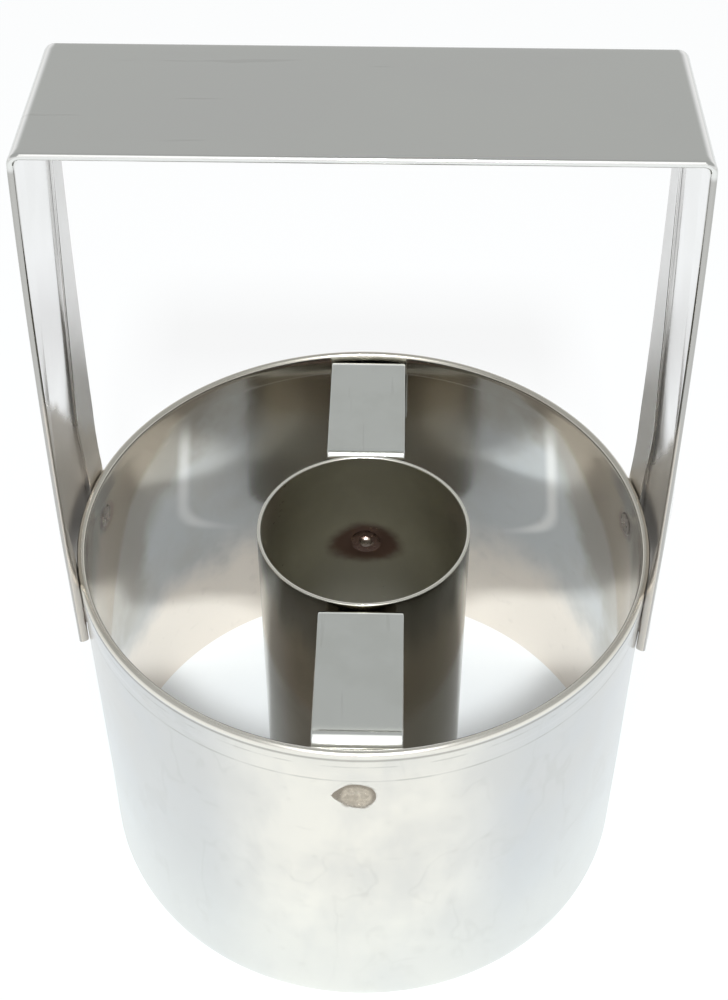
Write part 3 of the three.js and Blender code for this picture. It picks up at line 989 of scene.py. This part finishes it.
def handle_steel():
    """Bright strip with fine grain along its length, and legs with dull folds, painted shade along their hems
    and a painted reflection of the ring's rim low on their inner faces.
    """
    shader = new_shader("handle_steel")
    place = shader.place()
    x, y, z = shader.split(place)
    facing, _, _ = shader.split(shader.node("ShaderNodeTexCoord", output="Normal"))
    lines = grain(shader, shader.stretched(place, HANDLE_GRAIN))
    smudge = smudges(shader, place, HANDLE_SMUDGES)
    marks = scratches(shader, shader.stretched(place, HANDLE_SCRATCHES), 0.69)
    grip = shader.remap(z, *GRIP_REACH)
    leg = 1 - grip
    inside = shader.remap(facing * x, *INNER_FACE_REACH)
    colour = shader.mix(grip, LEG_CLEAN, GRIP_CLEAN)
    colour = toned(shader, colour, smudge, HANDLE_SMUDGE)
    colour = toned(shader, colour, marks, HANDLE_SCRATCH)
    fold = shader.remap(abs(y), *FOLD_REACH)
    colour = shader.mix(fold * leg, colour, LEG_FOLD)
    # Painted shade on the rear hem.
    hem = shader.remap(y, *REAR_HEM_SHADE_REACH) * leg * inside
    colour = toned(shader, colour, hem, REAR_HEM_SHADE)
    # Painted shade along the hems' free edges.
    step_shade = stripe(shader, abs(y) - STRIP_HEM_EDGE + HEM_STEP_SHADE_INSET, *HEM_STEP_SHADE_WIDTH)
    step_shade = step_shade * shader.remap(y, *HALF_CHANGE, *HEM_STEP_SHADE_SHARES)
    colour = shader.mix(step_shade * leg * inside, colour, HEM_STEP_SHADE)
    colour = toned(shader, colour, fold * grip, GRIP_FOLD)
    # Painted reflection of the ring's rim, lower on the right leg.
    lowered = shader.remap(x, *HALF_CHANGE, 0, RIGHT_REFLECTION_DROP)
    level = z + y * LEG_RIM_REFLECTION_SLANT + (smudge - 0.5) * LEG_RIM_REFLECTION_WANDER + lowered
    rim_reflection = shader.remap(level, *LEG_RIM_REFLECTION_REACH) * inside
    colour = toned(shader, colour, rim_reflection, LEG_RIM_REFLECTION)
    colour = heat_tint(shader, place, colour, leg_spots, LEG_HEAT)
    roughness = 0.1 + smudge * 0.05 + (lines - 0.5) * 0.06 + hem.most(rim_reflection) * 0.25
    normal = shader.bump(lines * 0.25 + marks * 0.5 + smudge * 0.5, 0.06, GRAIN_DEPTH)
    return shader.steel(colour, roughness, normal)


# Finish of the welds

RING_WELD = WeldTones((0.53, 0.47, 0.385), (0.28, 0.245, 0.20))
# The tube welds' third tone is a painted highlight on their beads.
TUBE_WELD = WeldTones((0.33, 0.22, 0.19), (0.20, 0.125, 0.105), (0.60, 0.51, 0.46))
LEG_WELD = WeldTones((0.40, 0.37, 0.34), (0.30, 0.27, 0.25))
WELD_BORDER_REACH = (0.65, 0.95)
WELD_MOTTLE_SHARE = 0.45
BEAD_HIGHLIGHT_REACH = (BEAD_SHARE + 0.05, BEAD_SHARE - 0.15)


def weld_steel(name, spots, tones):
    """Heat-tinted metal of spot welds, mottled and darker towards the border, with a painted highlight on a
    bead.
    """
    shader = new_shader(name)
    place = shader.place()
    mottle = shader.remap(shader.cloud(place, MOTTLE_SCALE, 4.0, 0.6), 0.38, 0.62)
    share = weld_share(shader, place, spots)
    outer = shader.remap(share, *WELD_BORDER_REACH)
    colour = shader.mix(outer.most(mottle * WELD_MOTTLE_SHARE), tones.middle, tones.border)
    # Painted highlight on the bead.
    if tones.bead:
        colour = shader.mix(shader.remap(share, *BEAD_HIGHLIGHT_REACH), colour, tones.bead)
    roughness = 0.24 + mottle * 0.15
    normal = shader.bump(mottle, 0.25, MOTTLE_DEPTH)
    return shader.steel(colour, roughness, normal)


# Floor, light and camera

WHITE = (1.0, 1.0, 1.0)
FLOOR_SIZE = 8.0
FLOOR_PAINT = (0.80, 0.85, 0.87, 1)
FLOOR_SHADE_REACH = (RING_RADIUS, RING_RADIUS + 25 * MM)
SEEN_LIFT_INSIDE = 0.2
SEEN_LIFT_AWAY = 0.85
MIRROR_LIFT_INSIDE = 0.25
MIRROR_LIFT_AWAY = 0.65
SKY = [(0.0, WHITE), (0.2, (0.90, 0.91, 0.93)), (0.42, (0.49, 0.50, 0.495)), (1.0, (0.47, 0.48, 0.48))]

Lamp = namedtuple("Lamp", "name place size power")
LAMPS = (
    Lamp("key_softbox", (0.024, -0.58, 0.74), 0.08, 8.0),
    Lamp("front_panel", (0.0, -0.75, 0.55), 0.75, 0.95),
    Lamp("top_panel", (0.0, -0.35, 0.9), 0.6, 0.9),
)
LAMP_AIM = (0, 0, 0.05)

PHOTO_HEIGHT = 1000
FOCAL_PIXELS = 1603.5
SENSOR = 36.0
CLIP_START = 0.01
CAMERA_PLACE = Vector((3.6, -160.7, 214.9)) * MM
CAMERA_DOWN = math.radians(43.53)
CAMERA_LEFT = math.radians(1.26)


def pale_floor():
    """White floor: plain paint under the lamps, lifted towards white where it is seen or mirrored."""
    shader = new_shader("pale_floor")
    x, y, _ = shader.split(shader.place())
    away = shader.remap((x * x + y * y).root(), *FLOOR_SHADE_REACH)
    rays = shader.node("ShaderNodeLightPath", output="Is Camera Ray")
    mirrored = rays.part("Is Glossy Ray").most(rays.part("Is Transmission Ray"))
    seen_lift = SEEN_LIFT_INSIDE + away * (SEEN_LIFT_AWAY - SEEN_LIFT_INSIDE)
    mirror_lift = MIRROR_LIFT_INSIDE + away * (MIRROR_LIFT_AWAY - MIRROR_LIFT_INSIDE)
    lift = (rays * seen_lift).most(mirrored * mirror_lift)
    paint = shader.node("ShaderNodeBsdfDiffuse", sockets={"Color": FLOOR_PAINT})
    glow = shader.node("ShaderNodeEmission", sockets={"Color": (*WHITE, 1), "Strength": 1.0})
    surface = shader.node("ShaderNodeMixShader", sockets={0: lift, 1: paint, 2: glow})
    shader.node("ShaderNodeOutputMaterial", sockets={"Surface": surface})
    return shader.owner


def lay_floor():
    half = FLOOR_SIZE / 2
    mesh = bpy.data.meshes.new("floor")
    corners = [(-half, -half, 0), (half, -half, 0), (half, half, 0), (-half, half, 0)]
    mesh.from_pydata(corners, [], [(0, 1, 2, 3)])
    mesh.materials.append(pale_floor())
    floor = bpy.data.objects.new("floor", mesh)
    bpy.context.scene.collection.objects.link(floor)


def surround():
    """A pale room: white near the horizon and mid grey overhead."""
    world = bpy.data.worlds.new("pale_room")
    bpy.context.scene.world = world
    shader = Shader(world)
    direction = shader.node("ShaderNodeTexCoord", output="Generated")
    _, _, up = shader.split(direction)
    rays = shader.node("ShaderNodeLightPath", output="Is Camera Ray")
    colour = shader.mix(rays, shader.ramp(up, SKY), WHITE)
    light = shader.node("ShaderNodeBackground", sockets={"Color": colour, "Strength": 1.0})
    shader.node("ShaderNodeOutputWorld", sockets={"Surface": light})


def softbox(lamp):
    """A square area lamp that points at the object."""
    data = bpy.data.lights.new(lamp.name, "AREA")
    data.size = lamp.size
    data.energy = lamp.power
    hung = bpy.data.objects.new(lamp.name, data)
    hung.location = lamp.place
    hung.rotation_euler = (Vector(LAMP_AIM) - Vector(lamp.place)).to_track_quat("-Z", "Y").to_euler()
    bpy.context.scene.collection.objects.link(hung)


def set_camera():
    data = bpy.data.cameras.new("camera")
    data.sensor_width = SENSOR
    data.lens = SENSOR * FOCAL_PIXELS / PHOTO_HEIGHT
    data.clip_start = CLIP_START
    camera = bpy.data.objects.new("camera", data)
    camera.location = CAMERA_PLACE
    camera.rotation_euler = (math.pi / 2 - CAMERA_DOWN, 0, CAMERA_LEFT)
    bpy.context.scene.collection.objects.link(camera)
    bpy.context.scene.camera = camera


def build_cutter():
    cutting_ring(ring_steel())
    centre_tube(tube_steel())
    satin = bracket_steel()
    for side in SIDES:
        tie_bracket(side, satin)
    strip_handle(handle_steel())
    ring_weld = weld_steel("ring_weld_steel", ring_spots, RING_WELD)
    for spot in ring_spots:
        weld_button(spot, ring_weld, drag=DRAG)
    tube_weld = weld_steel("tube_weld_steel", tube_spots, TUBE_WELD)
    for spot in tube_spots:
        weld_button(spot, tube_weld, bead=BEAD_HEIGHT)
    leg_weld = weld_steel("leg_weld_steel", leg_spots, LEG_WELD)
    for spot in leg_spots:
        weld_button(spot, leg_weld)


set_camera()
lay_floor()
surround()
for lamp in LAMPS:
    softbox(lamp)
build_cutter()

bpy.context.scene.view_settings.view_transform = "Standard"
